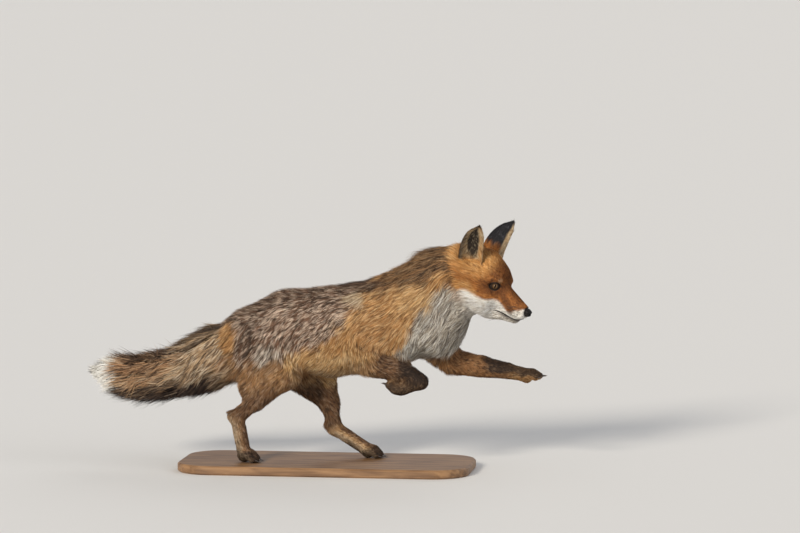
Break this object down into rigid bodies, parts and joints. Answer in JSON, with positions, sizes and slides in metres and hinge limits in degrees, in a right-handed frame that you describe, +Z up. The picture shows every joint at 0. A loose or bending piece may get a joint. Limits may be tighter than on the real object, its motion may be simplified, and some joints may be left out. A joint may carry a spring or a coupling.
{
  "type": "red fox museum model",
  "caption": "Life-size still model of an adult red fox in winter coat, caught in a running trot and looking ahead, with bushy white-tipped tail held out behind, on a low wooden board.",
  "frame": {"origin": "on the floor under the middle of the model's bounding box, at the underside of the display board", "axes": "+X forwards, towards the fox's nose; +Y to the fox's left; +Z up"},
  "size_m": [0.9258, 0.25, 0.5013],
  "materials": {
    "coat_russet": "soft guard hair, orange-brown, dull sheen",
    "coat_grizzled": "purple-brown hair with pale tips",
    "coat_brush": "long loose tan hair with dark tips",
    "coat_white": "soft white hair",
    "coat_black": "short black-brown hair",
    "coat_ear": "short black hair outside, pale hair inside",
    "nose_skin": "moist black pebbled skin",
    "eye": "glossy dark amber, as a museum model's eye",
    "claw": "smooth dark horn",
    "stand_wood": "satin-varnished pale wood"
  },
  "bodies": {
    "root": {"chest": "coat_russet", "claw_forepaw_left_1": "claw", "claw_forepaw_left_2": "claw", "claw_forepaw_left_3": "claw", "claw_forepaw_left_4": "claw", "claw_forepaw_right_1": "claw", "claw_forepaw_right_2": "claw", "claw_forepaw_right_3": "claw", "claw_forepaw_right_4": "claw", "claw_hind_foot_left_1": "claw", "claw_hind_foot_left_2": "claw", "claw_hind_foot_left_3": "claw", "claw_hind_foot_left_4": "claw", "claw_hind_foot_right_1": "claw", "claw_hind_foot_right_2": "claw", "claw_hind_foot_right_3": "claw", "claw_hind_foot_right_4": "claw", "ear_left": "coat_ear", "ear_right": "coat_ear", "eye_left": "eye", "eye_right": "eye", "forearm_left": "coat_russet", "forearm_right": "coat_russet", "forepaw_left": "coat_black", "forepaw_right": "coat_black", "head": "coat_russet", "hind_foot_left": "coat_black", "hind_foot_right": "coat_black", "loin": "coat_grizzled", "lower_jaw": "coat_white", "neck": "coat_russet", "nose": "nose_skin", "rump": "coat_grizzled", "shank_left": "coat_russet", "shank_right": "coat_russet", "stand_board": "stand_wood", "tail_brush": "coat_brush", "tail_root": "coat_brush", "tail_tip": "coat_white", "thigh_left": "coat_russet", "thigh_right": "coat_russet", "upper_arm_left": "coat_russet", "upper_arm_right": "coat_russet"}
  },
  "joints": []
}
